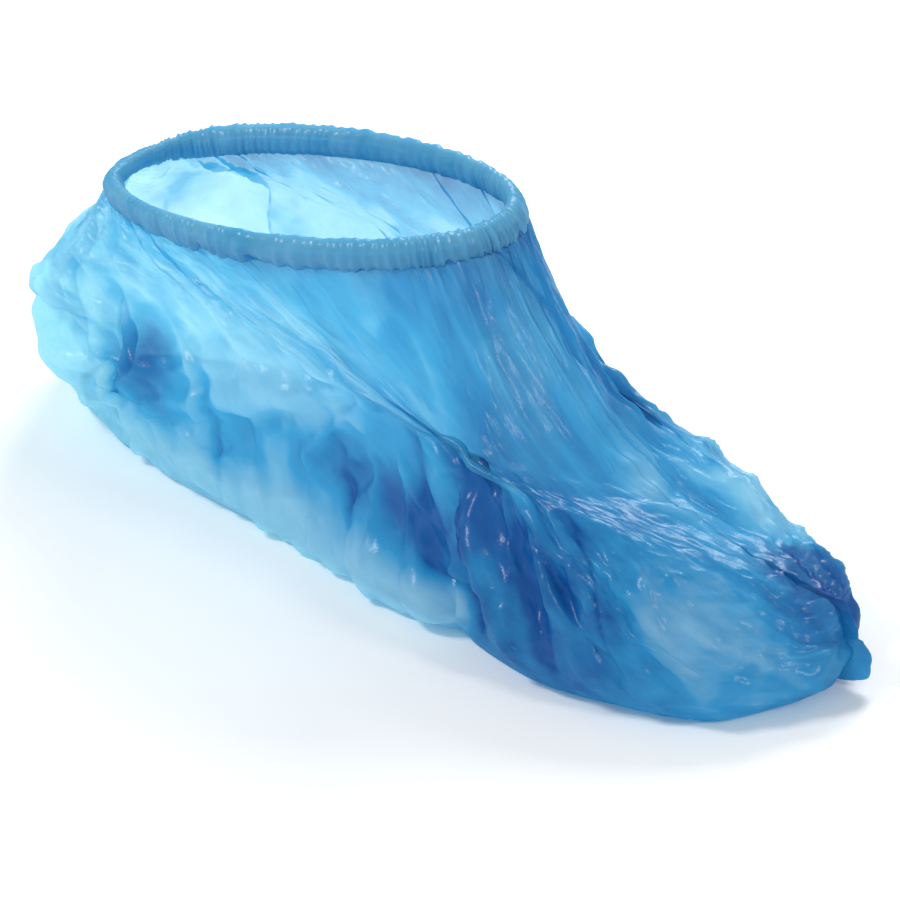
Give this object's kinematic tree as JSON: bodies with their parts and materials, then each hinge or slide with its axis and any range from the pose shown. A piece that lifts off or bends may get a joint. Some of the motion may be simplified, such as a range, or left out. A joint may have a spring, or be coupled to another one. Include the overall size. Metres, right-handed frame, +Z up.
{
  "type": "disposable shoe cover",
  "caption": "Loose translucent film cover for a shoe, in its worn shape: flat sole, baggy folded sides, low toe with an end weld, and an open gathered ankle with an elastic hem.",
  "frame": {"origin": "centre of the outline on the floor, under the sole", "axes": "+X towards the toe, +Y towards the inner side of a right foot, +Z up out of the ankle opening"},
  "size_m": [0.3112, 0.105, 0.1102],
  "materials": {
    "film": "thin translucent blue film with a fine emboss",
    "elastic": "matt white covered elastic"
  },
  "bodies": {
    "root": {"film_body": "film", "hem_casing": "film", "elastic_band": "elastic"}
  },
  "joints": []
}
